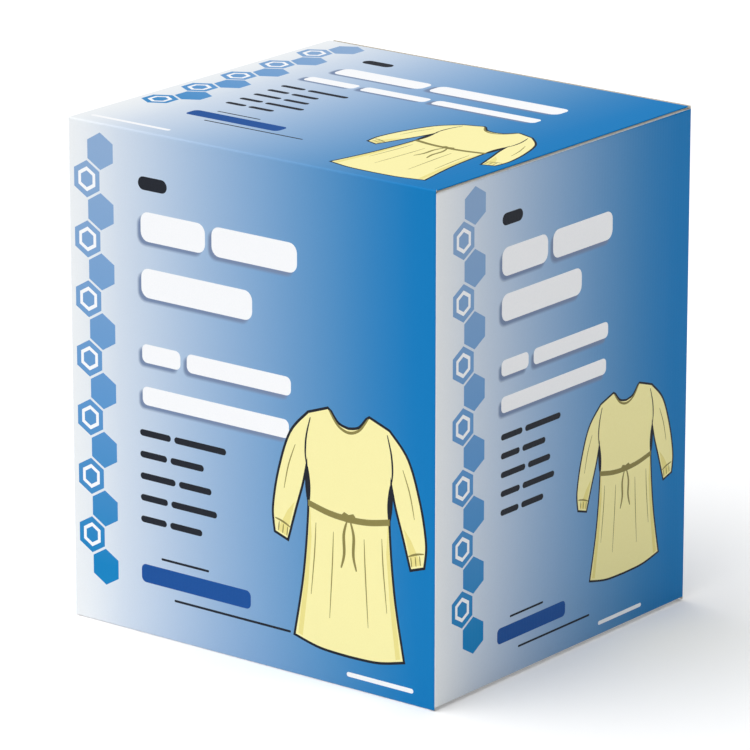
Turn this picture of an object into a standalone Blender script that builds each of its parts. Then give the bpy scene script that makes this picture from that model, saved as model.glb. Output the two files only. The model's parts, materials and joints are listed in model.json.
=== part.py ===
"""A printed tuck-top carton of corrugated board, empty and closed, standing on its glued base.

Metres, +Z up. The origin is the centre of the base, on the floor. The front is the -Y side and the
right-hand side is +X.

The carton is one board blank, and it is built the way it is folded. Each panel is drawn flat with its
printed face up, in the axes of the panel that it is creased to, and then turned about that crease.
A crease is two mitred edges with a rounded printed side, and every other edge is a plain cut.
"""

import math
from collections import namedtuple

import bmesh
import bpy

# Driving dimensions, in metres.
WIDTH = 0.335           # outside, across the front
DEPTH = 0.305           # outside, front to back
HEIGHT = 0.380          # floor to the top of the closed lid
BOARD = 0.0018          # fine-fluted board with a printed sheet laminated to it
GAP = 0.0003            # left between two panels that touch
FOLD_RADIUS = 0.0014    # printed side of a crease
SLOT = 0.004            # a base flap's side stands this far in from the corner
SEAM = 0.0012           # between the two outer base flaps
LID_INSET = 0.0004      # the lid's sides, in from the walls' faces
TUCK_LENGTH = 0.044
TUCK_CORNER = 0.016
TUCK_LEAN = math.radians(9)     # past square, so that the flap clears the back wall as the lid lifts
DUST_LENGTH = 0.112
DUST_TAPER = 0.62       # the front edge runs back this much for each unit of length, ahead of the lid
DUST_BACK_TAPER = 0.05
DUST_CORNER = 0.012
TAB_LENGTH = 0.036
TAB_TAPER = 0.4         # slope of the glue tab's two ends
CLEAR = 0.0015          # a flap inside the walls keeps this much on each side
ARC_STEPS = 4           # facets across a crease's half of the rounding, and across a flap's corner

FOLD = math.radians(90)
TUCK_FOLD = FOLD + TUCK_LEAN
CUT = 0.0

# Levels above the floor, and sizes that follow.
INNER_BASE = BOARD + GAP                        # underside of the inner base flaps
DUST_LEVEL = HEIGHT - BOARD - GAP               # printed side of the dust flaps, under the lid
BACK_TOP = HEIGHT - GAP                         # the back wall ends in a plain cut
LID_LENGTH = DEPTH - BOARD - GAP                # front crease to tuck crease
DUST_FRONT = BOARD + CLEAR                      # where a dust flap starts, behind the front face
DUST_BACK = LID_LENGTH - TUCK_LENGTH * math.sin(TUCK_LEAN) - BOARD - CLEAR
BACK_WIDTH = WIDTH - BOARD - GAP                # the back wall turns into its tab, inside the left wall
BASE_LENGTH = DEPTH / 2 - SEAM / 2              # an outer base flap reaches the middle
LAYERS = [FOLD_RADIUS * (1 - math.cos(FOLD / 2 * step / ARC_STEPS)) for step in range(ARC_STEPS + 1)]
LAYERS.append(BOARD)

# A panel's corner: its place, the fold of the edge that starts there, and the radius it is cut to.
Corner = namedtuple("Corner", "x y fold radius", defaults=(CUT, 0.0))

# Flat colours of the print on each side of the carton, and of the bare board.
Ink = namedtuple("Ink", "name hex")
FRONT_INK = Ink("front_print", "9AB8DA")
SIDE_INK = Ink("side_print", "7E9DBD")
TOP_INK = Ink("top_print", "A9C5E2")
BASE_INK = Ink("base_white", "E9ECEE")
KRAFT_HEX = "C2A27A"
PRINT_ROUGHNESS = 0.35
BOARD_ROUGHNESS = 0.85


def linear(hex_colour):
    """An sRGB hex colour as linear red, green, blue and alpha."""
    parts = [int(hex_colour[i : i + 2], 16) / 255 for i in (0, 2, 4)]
    return [c / 12.92 if c <= 0.04045 else ((c + 0.055) / 1.055) ** 2.4 for c in parts] + [1.0]


def board_material(name, hex_colour, roughness):
    material = bpy.data.materials.new(name)
    material.use_nodes = True
    shader = material.node_tree.nodes["Principled BSDF"]
    shader.inputs["Base Color"].default_value = linear(hex_colour)
    shader.inputs["Roughness"].default_value = roughness
    shader.inputs["Metallic"].default_value = 0.0
    material.diffuse_color = linear(hex_colour)
    return material


def rectangle(left, right, low, high, folds):
    """Corners counterclockwise from low left. The folds are those of the low, right, high and left edges."""
    places = [(left, low), (right, low), (right, high), (left, high)]
    return [Corner(x, y, fold) for (x, y), fold in zip(places, folds)]


def mirrored(corners):
    """The same outline with left and right swapped, still counterclockwise."""
    count = len(corners)
    return [corners[-i]._replace(x=-corners[-i].x, fold=corners[-i - 1].fold) for i in range(count)]


def rounded(corners):
    """The outline with each corner that has a radius cut to an arc."""
    outline = []
    for before, corner, after in zip(corners[-1:] + corners[:-1], corners, corners[1:] + corners[:1]):
        if not corner.radius:
            outline.append(corner)
            continue
        heading_in = math.atan2(corner.y - before.y, corner.x - before.x)
        heading_out = math.atan2(after.y - corner.y, after.x - corner.x)
        turn = (heading_out - heading_in) % math.tau
        reach = corner.radius * math.tan(turn / 2)
        start_x = corner.x - reach * math.cos(heading_in)
        start_y = corner.y - reach * math.sin(heading_in)
        centre_x = start_x - corner.radius * math.sin(heading_in)
        centre_y = start_y + corner.radius * math.cos(heading_in)
        for step in range(ARC_STEPS + 1):
            heading = heading_in + turn * step / ARC_STEPS
            x = centre_x + corner.radius * math.sin(heading)
            y = centre_y - corner.radius * math.cos(heading)
            outline.append(Corner(x, y, corner.fold if step == ARC_STEPS else CUT))
    return outline


def edge_inset(depth, fold):
    """How far an edge stands in from its crease line, at a depth below the printed face."""
    if fold == CUT:
        return 0.0
    half = fold / 2
    if depth < FOLD_RADIUS * (1 - math.cos(half)):
        mitre = FOLD_RADIUS * math.tan(half) - math.sqrt(FOLD_RADIUS**2 - (FOLD_RADIUS - depth) ** 2)
    else:
        mitre = depth * math.tan(half)
    return mitre + GAP / 2 / math.cos(half)


def section(outline, depth):
    """The panel's corners at a depth: each edge moved in by its inset, and crossed with the one before."""
    lines = []
    for start, end in zip(outline, outline[1:] + outline[:1]):
        length = math.hypot(end.x - start.x, end.y - start.y)
        along_x, along_y = (end.x - start.x) / length, (end.y - start.y) / length
        inset = edge_inset(depth, start.fold)
        lines.append((start.x - inset * along_y, start.y + inset * along_x, along_x, along_y))
    corners = []
    for (ax, ay, adx, ady), (bx, by, bdx, bdy) in zip(lines[-1:] + lines[:-1], lines):
        travel = ((bx - ax) * bdy - (by - ay) * bdx) / (adx * bdy - ady * bdx)
        corners.append((ax + travel * adx, ay + travel * ady, -depth))
    return corners


def add_panel(name, outline, ink, parent=None, at=(0, 0, 0), turn=(0, 0, 0)):
    """One closed panel of board. Its origin is on its crease, and z = 0 is its printed face."""
    shape = bmesh.new()
    rings = [[shape.verts.new(corner) for corner in section(outline, depth)] for depth in LAYERS]
    shape.faces.new(rings[0])
    for level, (upper, lower) in enumerate(zip(rings, rings[1:])):
        for i, j in zip(range(len(upper)), [*range(1, len(upper)), 0]):
            side = shape.faces.new((upper[i], lower[i], lower[j], upper[j]))
            bare = outline[i].fold == CUT or level == len(LAYERS) - 2
            side.material_index = int(bare)
    shape.faces.new(reversed(rings[-1])).material_index = 1
    mesh = bpy.data.meshes.new(name)
    shape.to_mesh(mesh)
    shape.free()
    mesh.shade_smooth()
    mesh.set_sharp_from_angle(angle=math.radians(30))
    mesh.materials.append(board_material(f"{name}_{ink.name}", ink.hex, PRINT_ROUGHNESS))
    mesh.materials.append(board_material(f"{name}_bare_board", KRAFT_HEX, BOARD_ROUGHNESS))
    panel = bpy.data.objects.new(name, mesh)
    bpy.context.scene.collection.objects.link(panel)
    panel.parent = parent
    panel.location = at
    panel.rotation_euler = turn
    return panel


def build_walls():
    """Four walls and the glue tab, wrapped round from the front. The side walls stop short for the flaps."""
    front_shape = rectangle(-WIDTH / 2, WIDTH / 2, 0, HEIGHT, (FOLD, FOLD, FOLD, FOLD))
    front = add_panel("wall_front", front_shape, FRONT_INK, at=(0, -DEPTH / 2, 0), turn=(FOLD, 0, 0))

    right_shape = rectangle(0, DEPTH, INNER_BASE, DUST_LEVEL, (FOLD, FOLD, FOLD, FOLD))
    right = add_panel("wall_right", right_shape, SIDE_INK, front, (WIDTH / 2, 0, 0), (0, FOLD, 0))

    back_shape = rectangle(0, BACK_WIDTH, 0, BACK_TOP, (FOLD, FOLD, CUT, FOLD))
    back = add_panel("wall_back", back_shape, FRONT_INK, right, (DEPTH, 0, 0), (0, FOLD, 0))

    left_shape = rectangle(-DEPTH, 0, INNER_BASE, DUST_LEVEL, (FOLD, FOLD, FOLD, CUT))
    left = add_panel("wall_left", left_shape, SIDE_INK, front, (-WIDTH / 2, 0, 0), (0, -FOLD, 0))

    tab_low = INNER_BASE + BOARD + CLEAR
    tab_high = DUST_LEVEL - BOARD - CLEAR
    tab_slope = TAB_TAPER * TAB_LENGTH
    tab_shape = [
        Corner(0, tab_low),
        Corner(TAB_LENGTH, tab_low + tab_slope),
        Corner(TAB_LENGTH, tab_high - tab_slope),
        Corner(0, tab_high, FOLD),
    ]
    add_panel("glue_tab", tab_shape, BASE_INK, back, (BACK_WIDTH, 0, 0), (0, FOLD, 0))
    return front, right, back, left


def build_base(front, right, back, left):
    """The two inner flaps from the side walls, and the two outer ones that meet in the middle."""
    half = WIDTH / 2 - SLOT
    outer_shape = rectangle(-half, half, -BASE_LENGTH, 0, (CUT, CUT, FOLD, CUT))
    add_panel("base_front", outer_shape, BASE_INK, front, (0, 0, 0), (FOLD, 0, 0))
    add_panel("base_back", outer_shape, BASE_INK, back, (WIDTH / 2, 0, 0), (FOLD, 0, 0))

    near = BOARD + CLEAR
    far = DEPTH - BOARD - CLEAR
    inner_shape = rectangle(near, far, INNER_BASE - BASE_LENGTH, INNER_BASE, (CUT, CUT, FOLD, CUT))
    for name, wall, shape in (
        ("base_right", right, inner_shape),
        ("base_left", left, mirrored(inner_shape)),
    ):
        flap_shape = [corner._replace(y=corner.y - INNER_BASE) for corner in shape]
        add_panel(name, flap_shape, BASE_INK, wall, (0, INNER_BASE, 0), (FOLD, 0, 0))


def build_top(front, right, left):
    """The lid with its tuck flap, hinged on the front wall, and a dust flap on each side wall."""
    half = WIDTH / 2 - LID_INSET
    lid_shape = rectangle(-half, half, 0, LID_LENGTH, (FOLD, CUT, TUCK_FOLD, CUT))
    lid = add_panel("lid", lid_shape, TOP_INK, front, (0, HEIGHT, 0), (-FOLD, 0, 0))

    tuck_half = WIDTH / 2 - 2 * BOARD - 2 * CLEAR
    tuck_shape = [
        Corner(-tuck_half, 0, TUCK_FOLD),
        Corner(tuck_half, 0),
        Corner(tuck_half, TUCK_LENGTH, radius=TUCK_CORNER),
        Corner(-tuck_half, TUCK_LENGTH, radius=TUCK_CORNER),
    ]
    add_panel("tuck_flap", rounded(tuck_shape), BASE_INK, lid, (0, LID_LENGTH, 0), (-TUCK_FOLD, 0, 0))

    dust_shape = [
        Corner(DUST_FRONT, 0, FOLD),
        Corner(DUST_BACK, 0),
        Corner(DUST_BACK - DUST_BACK_TAPER * DUST_LENGTH, DUST_LENGTH, radius=DUST_CORNER),
        Corner(DUST_FRONT + DUST_TAPER * DUST_LENGTH, DUST_LENGTH, radius=DUST_CORNER),
    ]
    for name, wall, shape in (
        ("dust_flap_right", right, dust_shape),
        ("dust_flap_left", left, mirrored(dust_shape)),
    ):
        add_panel(name, rounded(shape), BASE_INK, wall, (0, DUST_LEVEL, 0), (-FOLD, 0, 0))


def main():
    for old in list(bpy.context.scene.objects):
        bpy.data.objects.remove(old, do_unlink=True)
    front, right, back, left = build_walls()
    build_base(front, right, back, left)
    build_top(front, right, left)
    bpy.context.view_layer.update()


main()
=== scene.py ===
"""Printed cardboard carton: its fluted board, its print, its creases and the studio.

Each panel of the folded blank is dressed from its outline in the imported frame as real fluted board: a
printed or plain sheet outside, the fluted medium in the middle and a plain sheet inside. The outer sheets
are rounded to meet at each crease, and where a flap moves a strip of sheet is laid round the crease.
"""

import json
import math
from collections import namedtuple
from functools import cache

import bmesh
import bpy
from bpy.props import FloatProperty, FloatVectorProperty, IntProperty, PointerProperty
from mathutils import Matrix, Vector
from mathutils.geometry import delaunay_2d_cdt


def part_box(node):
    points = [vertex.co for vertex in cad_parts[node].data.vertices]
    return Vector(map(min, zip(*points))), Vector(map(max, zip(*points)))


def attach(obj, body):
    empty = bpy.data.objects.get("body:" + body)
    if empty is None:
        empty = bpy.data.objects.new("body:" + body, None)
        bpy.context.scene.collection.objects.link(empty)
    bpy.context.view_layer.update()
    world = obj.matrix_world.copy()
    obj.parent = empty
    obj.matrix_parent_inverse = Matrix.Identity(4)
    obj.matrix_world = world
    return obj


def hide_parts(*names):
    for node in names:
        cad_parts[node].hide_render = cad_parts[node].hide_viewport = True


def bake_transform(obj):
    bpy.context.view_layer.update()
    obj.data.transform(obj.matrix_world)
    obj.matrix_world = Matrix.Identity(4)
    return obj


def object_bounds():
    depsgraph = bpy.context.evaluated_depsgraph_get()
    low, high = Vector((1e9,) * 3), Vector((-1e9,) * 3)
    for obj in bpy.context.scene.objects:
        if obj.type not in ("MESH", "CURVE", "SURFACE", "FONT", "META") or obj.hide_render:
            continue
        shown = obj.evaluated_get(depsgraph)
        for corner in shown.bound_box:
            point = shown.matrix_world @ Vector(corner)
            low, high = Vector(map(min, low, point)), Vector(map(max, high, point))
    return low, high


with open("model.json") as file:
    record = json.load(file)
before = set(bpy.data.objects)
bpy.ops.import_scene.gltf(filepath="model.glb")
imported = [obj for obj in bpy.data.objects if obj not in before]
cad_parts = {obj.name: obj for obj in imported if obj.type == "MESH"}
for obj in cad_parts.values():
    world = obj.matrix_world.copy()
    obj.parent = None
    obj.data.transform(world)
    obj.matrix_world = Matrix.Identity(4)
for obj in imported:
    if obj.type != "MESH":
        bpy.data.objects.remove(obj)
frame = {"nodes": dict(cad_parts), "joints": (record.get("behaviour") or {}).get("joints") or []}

bl_info = {
    "name": "Printed Carton",
    "version": (1, 0, 0),
    "blender": (4, 5, 0),
    "location": "View3D > Sidebar > Carton",
    "description": "Dresses a folded carton in printed liner, fluted board and bending creases",
    "category": "Object",
}

MM = 0.001
CAD_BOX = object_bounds()
LOW, HIGH = CAD_BOX
WIDTH, DEPTH, HEIGHT = HIGH - LOW
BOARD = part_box("wall_front")[1].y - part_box("wall_front")[0].y
MERGE = 0.001 * MM          # corners closer than this are one corner

# The board, its edges and its creases.
ARC_STEPS = 6               # facets in half a crease
CORE_STEPS = 10             # slices in the board inside a moving crease
CREASE_GAP = 0.21 * MM      # the frame's panels stop this short of each other along a crease
HALF_CREASE = 45            # degrees that a sheet turns before it meets its neighbour's at a fixed crease
CRUSH = 0.9 * MM            # how far from a cut edge the cutting rule presses the board together
ROLL = 70                   # degrees that it rolls the outer sheet down there
INNER_LIFT = 0.45 * MM      # how far it lifts the inner sheet there
SHARP = 32                  # degrees; edges turned more than this stay sharp

# How a panel's outline is read.
FLAT = 1                    # degrees; faces that differ by less are one face
FACING = 20                 # degrees; a panel's face looks this near to its named direction, or nearer
SLOPE = 0.3                 # a side face that looks out by more than this is a crease's and not a cut edge
SQUARE_CORNER = 0.7         # sine of the least turn that counts as a corner and not as a rounded end
PARALLEL = 0.99             # cosine from which an edge counts as cut along the flutes
NEAR_JOINT = 3 * MM         # a crease this near a joint's axis is the one that moves

# The print.
PRINT_ROUGHNESS = 0.48      # ink under a dull aqueous varnish
PRINT_SHEEN = 0.1           # and its specular level
WASHBOARD = 0.02 * MM       # how far the flutes draw the printed sheet in and out
WAVE_UNIT = 20              # a wave texture of scale 1 has this many radians to the metre
BAR_ROUND = 0.32            # a white bar's corner radius as a share of its height
NAVY_ROUND = 0.3            # the dark blue bar's
SHADOW_ROUND = 0.34         # and that of the cuts round a shadow
SHADOW_SHIFT = 3 * MM       # a printed shadow lies this far to the left of its bar and below it
SHADOW_SOFT = 2.4 * MM      # and fades over this width
TILE, HOLLOW, HEART = 0.93, 0.62, 0.42  # a tile, the hollow in it and the blue in that, as shares of its cell
DARK_GAP = 1.6              # mm; half the gap in a dark bar
LINE = 0.011                # the drawn outline's width as a share of the drawing's height
BELT = 0.013                # and half the belt's

# The stage.
FLOOR_REACH = 12.0          # metres from the middle to the floor's edge, past all that the camera sees
FLOOR_GAP = 0.2 * MM        # keeps the floor and the carton's base out of one plane
FLOOR_GLOW = 0.08           # light that comes up through the table
SOFTBOX_ANGLE = 75          # degrees across, for shadows with very soft edges
SOFTBOX_AIM = (0.25, 0.27, -0.75)
SENSOR = 36.0               # mm
AIM_SIDE, AIM_HEIGHT = -0.0144, 0.4717  # what the camera looks at, as shares of the carton's height

WALLS = ("wall_front", "wall_right", "wall_back", "wall_left")
BASE = ("base_front", "base_back", "base_left", "base_right")
FLAPS = {"tuck": "tuck_flap", "dust_left": "dust_flap_left", "dust_right": "dust_flap_right"}
ACROSS = ("base_left", "base_right", "dust_flap_left", "dust_flap_right")  # their flutes run left to right
# A panel's right-hand direction and its outward direction, as someone facing its printed side sees them.
PANELS = {
    "wall_front": ((1, 0, 0), (0, -1, 0)),
    "wall_right": ((0, 1, 0), (1, 0, 0)),
    "wall_back": ((-1, 0, 0), (0, 1, 0)),
    "wall_left": ((0, -1, 0), (-1, 0, 0)),
    "glue_tab": ((0, -1, 0), (-1, 0, 0)),
    "lid": ((1, 0, 0), (0, 0, 1)),
    "tuck_flap": ((-1, 0, 0), (0, 1, 0)),
    "dust_flap_left": ((1, 0, 0), (0, 0, 1)),
    "dust_flap_right": ((1, 0, 0), (0, 0, 1)),
    **dict.fromkeys(BASE, ((1, 0, 0), (0, 0, -1))),
}
# Each moving crease: the panel it starts on and the panel it ends on.
MOVING_FOLDS = {
    "lid_fold": ("wall_front", "lid"),
    "tuck_fold": ("lid", "tuck_flap"),
    "dust_right_fold": ("wall_right", "dust_flap_right"),
    "dust_left_fold": ("wall_left", "dust_flap_left"),
}
PRINT_SLOTS = {
    "wall_front": "print_front",
    "wall_back": "print_front",
    "wall_right": "print_side",
    "wall_left": "print_side",
    "lid": "print_lid",
}

Panel = namedtuple("Panel", "node place face edges back back_edges")
Layout = namedtuple("Layout", "band white_bars dark_bars navy_bar foot_bar garment")
Band = namedtuple("Band", "x top rows tile")
Bar = namedtuple("Bar", "left right bottom top")
Garment = namedtuple("Garment", "x bottom width height")


def linear(colour):
    """An sRGB hex colour as the linear values that a shader takes."""
    parts = [int(colour[i:i + 2], 16) / 255 for i in (0, 2, 4)]
    return [c / 12.92 if c <= 0.04045 else ((c + 0.055) / 1.055) ** 2.4 for c in parts] + [1.0]


# ---------------------------------------------------------------- settings

class CartonBoard(bpy.types.PropertyGroup):
    """The layers of the fluted board"""
    liner: FloatProperty(
        name="Liner", description="Thickness of each flat sheet of the board",
        default=0.3 * MM, min=0.1 * MM, max=0.6 * MM, unit="LENGTH")
    medium: FloatProperty(
        name="Medium", description="Thickness of the fluted sheet in the middle",
        default=0.18 * MM, min=0.1 * MM, max=0.4 * MM, unit="LENGTH")
    pitch: FloatProperty(
        name="Flute pitch", description="Distance from one flute to the next, as in fine E-flute board",
        default=3.4 * MM, min=2 * MM, max=9 * MM, unit="LENGTH")
    steps: IntProperty(
        name="Flute steps", description="Facets in one flute", default=10, min=6, max=24)


class CartonPrint(bpy.types.PropertyGroup):
    """The inks of the printed sheet"""
    pale: FloatVectorProperty(
        name="Pale end", description="Left end of the blend, nearly bare board",
        subtype="COLOR", size=3, default=linear("f1f3f3")[:3])
    deep: FloatVectorProperty(
        name="Deep end", description="Right end of the blend, full process blue",
        subtype="COLOR", size=3, default=linear("0079bc")[:3])


class CartonStage(bpy.types.PropertyGroup):
    """Where the camera stands and how bright the studio is"""
    azimuth: FloatProperty(
        name="Azimuth", description="Camera's turn from the front, towards the right side",
        default=math.radians(38.10), subtype="ANGLE")
    elevation: FloatProperty(
        name="Elevation", description="Camera's height above the floor as an angle",
        default=math.radians(16.88), subtype="ANGLE")
    distance: FloatProperty(
        name="Distance", description="Camera to the point it looks at", default=4.062, unit="LENGTH")
    lens: FloatProperty(
        name="Lens", description="Focal length in millimetres on a 36 mm sensor", default=265.4)
    room: FloatProperty(
        name="Room light", description="Strength of the white studio all round", default=0.34, min=0.0)
    key: FloatProperty(
        name="Key light", description="Strength of the wide overhead softbox", default=2.68, min=0.0)


# ---------------------------------------------------------------- materials

def add_node(tree, kind, inputs=None, **settings):
    """Adds a node with its settings and its inputs.

    An input is a value, a socket to link, or a node, which stands for its first output in use.
    """
    node = tree.nodes.new(kind)
    for name, value in settings.items():
        setattr(node, name, value)
    for name, value in (inputs or {}).items():
        if isinstance(value, bpy.types.Node):
            value = next(socket for socket in value.outputs if socket.enabled)
        if isinstance(value, bpy.types.NodeSocket):
            tree.links.new(value, node.inputs[name])
        else:
            node.inputs[name].default_value = value
    return node


def new_surface(name, roughness, sheen=0.3):
    """A material with one Principled shader, its tree and that shader."""
    material = bpy.data.materials.get(name) or bpy.data.materials.new(name)
    material.use_nodes = True
    tree = material.node_tree
    tree.nodes.clear()
    shader = add_node(tree, "ShaderNodeBsdfPrincipled", {
        "Roughness": roughness, "IOR": 1.5, "Specular IOR Level": sheen})
    add_node(tree, "ShaderNodeOutputMaterial", {"Surface": shader})
    return material, tree, shader


def paper_relief(tree, shader, fibre, fibre_height, washboard=0.0):
    """Bump of the paper's fibres and, on a printed sheet, of the faint washboard above the flutes.

    fibre is the size of a clump of fibres in metres, drawn coarser than real fibres so that it shows. The
    washboard's height is in metres too, and it follows the piece's "board" map.
    """
    place = add_node(tree, "ShaderNodeTexCoord")
    fibres = add_node(tree, "ShaderNodeTexNoise", {
        "Vector": place.outputs["Object"], "Scale": 1 / fibre, "Detail": 3.0, "Roughness": 0.6})
    relief = {"Height": fibres, "Strength": 1.0, "Distance": fibre_height}
    if washboard:
        board = add_node(tree, "ShaderNodeUVMap", uv_map="board")
        pitch = bpy.context.scene.carton_board.pitch
        waves = add_node(tree, "ShaderNodeTexWave", {
            "Vector": board, "Scale": math.tau / (WAVE_UNIT * pitch)}, bands_direction="X")
        relief["Normal"] = add_node(tree, "ShaderNodeBump", {
            "Height": waves.outputs["Fac"], "Strength": 1.0, "Distance": washboard})
    fine = add_node(tree, "ShaderNodeBump", relief)
    tree.links.new(fine.outputs["Normal"], shader.inputs["Normal"])
    return fibres


def mottle(tree, shader, fibres, colour, dark, amount):
    """Colours a paper or an ink whose tone drifts with its fibres."""
    drift = add_node(tree, "ShaderNodeMapRange", {
        "Value": fibres, "From Min": 0.35, "From Max": 0.75, "To Min": 0.0, "To Max": amount})
    mix = add_node(tree, "ShaderNodeMix", {
        "Factor": drift, "A": linear(colour), "B": linear(dark)}, data_type="RGBA")
    tree.links.new(mix.outputs["Result"], shader.inputs["Base Color"])


def ink_surface(name):
    """What every ink shares: the coated sheet under a thin dull varnish, with its fibres as a node."""
    material, tree, shader = new_surface(name, PRINT_ROUGHNESS, PRINT_SHEEN)
    return material, tree, shader, paper_relief(tree, shader, 1.2 * MM, 0.006 * MM, WASHBOARD)


def sheet_blend(tree, axis, tones, interpolation):
    """A run of tones along one axis of the artwork, each given by its place from 0 to 1 and its colour."""
    sheet = add_node(tree, "ShaderNodeUVMap", uv_map="sheet")
    axes = add_node(tree, "ShaderNodeSeparateXYZ", {"Vector": sheet})
    ramp = add_node(tree, "ShaderNodeValToRGB", {"Fac": axes.outputs[axis]})
    ramp.color_ramp.interpolation = interpolation
    stops = ramp.color_ramp.elements
    while len(stops) < len(tones):
        stops.new(0.5)
    for stop, (place, colour) in zip(stops, tones):
        stop.position = place
        stop.color = colour
    return ramp


def solid_ink(name, colour, dark):
    """Offset ink laid solid on coated liner under a thin aqueous varnish.

    It gives the eye a flat, even colour with a satin sheen, very slightly mottled by the paper below.
    """
    material, tree, shader, fibres = ink_surface(name)
    mottle(tree, shader, fibres, colour, dark, 0.35)
    return material


def blended_ink():
    """Offset process blue printed as a smooth blend from nearly bare board to full ink, varnished.

    It gives the eye a cold white left edge that deepens evenly to a strong blue at the right. The soft
    grey-blue shadow that the artwork throws under its white bars is the sheet's "shadow" attribute.
    """
    material, tree, shader, fibres = ink_surface("blended_process_blue")
    settings = bpy.context.scene.carton_print
    between = ((0.14, "d0dbe9"), (0.34, "a2bcda"), (0.54, "78a2cd"), (0.73, "4a8bc0"), (0.90, "0579bc"))
    tones = [(0.0, (*settings.pale, 1.0))]
    tones += [(place, linear(tone)) for place, tone in between]
    tones += [(1.0, (*settings.deep, 1.0))]
    blend = sheet_blend(tree, "X", tones, "B_SPLINE")
    shadow = add_node(tree, "ShaderNodeAttribute", attribute_name="shadow")
    shade = add_node(tree, "ShaderNodeMix", {
        "Factor": shadow.outputs["Fac"], "A": blend, "B": linear("7688a8")}, data_type="RGBA")
    grain = add_node(tree, "ShaderNodeMapRange", {
        "Value": fibres, "From Min": 0.3, "From Max": 0.8, "To Min": 1.0, "To Max": 0.965})
    final = add_node(tree, "ShaderNodeMix", {
        "Factor": 1.0, "A": shade, "B": grain}, data_type="RGBA", blend_type="MULTIPLY")
    tree.links.new(final.outputs["Result"], shader.inputs["Base Color"])
    return material


def tile_ink():
    """Offset blue in tiles, varnished.

    It gives the eye a pale cornflower at the top of the band that deepens to a full cyan-blue.
    """
    material, tree, shader, _ = ink_surface("graded_tile_blue")
    tones = [(0.12, linear("0780be")), (0.45, linear("5b94cb")), (0.95, linear("8aa9cf"))]
    blend = sheet_blend(tree, "Y", tones, "LINEAR")
    tree.links.new(blend.outputs["Color"], shader.inputs["Base Color"])
    return material


def coated_white():
    """The coated sheet where no ink lies on it: a clean cold white under the same varnish."""
    return solid_ink("unprinted_coated_white", "f6f7f9", "e9ecf1")


def bare_liner(name, colour, dark, roughness):
    """Uncoated white-top kraft liner, machine-finished: matt, faintly fibrous and a little uneven."""
    material, tree, shader = new_surface(name, roughness)
    fibres = paper_relief(tree, shader, 0.9 * MM, 0.014 * MM)
    mottle(tree, shader, fibres, colour, dark, 0.6)
    return material


def liner_white():
    """The uncoated white inside of the board."""
    return bare_liner("white_top_kraft_liner", "ddd7cb", "cbc3b3", 0.8)


def raw_paper():
    """The cut edges and the back of the outer sheet: brighter and rougher than the inside."""
    return bare_liner("raw_paper_edge", "efebe2", "dcd4c4", 0.85)


def fluting_paper():
    """Semi-chemical fluting medium, corrugated between hot rolls: matt, greyish tan, darker flecks."""
    material, tree, shader = new_surface("fluting_medium", 0.9)
    fibres = paper_relief(tree, shader, 0.6 * MM, 0.02 * MM)
    mottle(tree, shader, fibres, "dccfb6", "b79f7c", 0.8)
    return material


def printed_finishes():
    """A printed sheet's inks by name, with its bare paper last."""
    return {
        "blend": blended_ink(),
        "tile": tile_ink(),
        "knockout": coated_white(),
        "black": solid_ink("near_black_ink", "1c2029", "2a2f3a"),
        "navy": solid_ink("deep_blue_ink", "15509a", "0f4384"),
        "yellow": solid_ink("pale_yellow_ink", "f8f0ae", "f1e79c"),
        "straw": solid_ink("straw_yellow_ink", "ece08f", "e2d580"),
        "olive": solid_ink("olive_ink", "8e854d", "7d7440"),
        "raw": raw_paper(),
    }


def plain_finishes():
    """An unprinted sheet's coated side, and its bare paper last."""
    return {"plain": coated_white(), "raw": raw_paper()}


# ---------------------------------------------------------------- reading the frame

def merged_copy(node):
    """A CAD node's mesh as flat many-sided faces, from a merged copy; the node itself is left alone."""
    shape = bmesh.new()
    shape.from_mesh(frame["nodes"][node].data)
    bmesh.ops.remove_doubles(shape, verts=shape.verts, dist=MERGE)
    bmesh.ops.dissolve_limit(shape, angle_limit=math.radians(FLAT), verts=shape.verts, edges=shape.edges)
    shape.normal_update()
    return shape


def largest_face(shape, towards):
    """The largest face that looks along a direction."""
    facing = [f for f in shape.faces if f.normal.dot(towards) > math.cos(math.radians(FACING))]
    if not facing:
        raise RuntimeError(f"no flat face looks along {tuple(towards)}")
    return max(facing, key=lambda f: f.calc_area())


def by_joint(point, joint):
    """True if a point lies by a joint's axis."""
    axis = Vector(joint["axis"]).normalized()
    arm = point - Vector(joint["pos_m"])
    return (arm - axis * arm.dot(axis)).length < NEAR_JOINT


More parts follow.
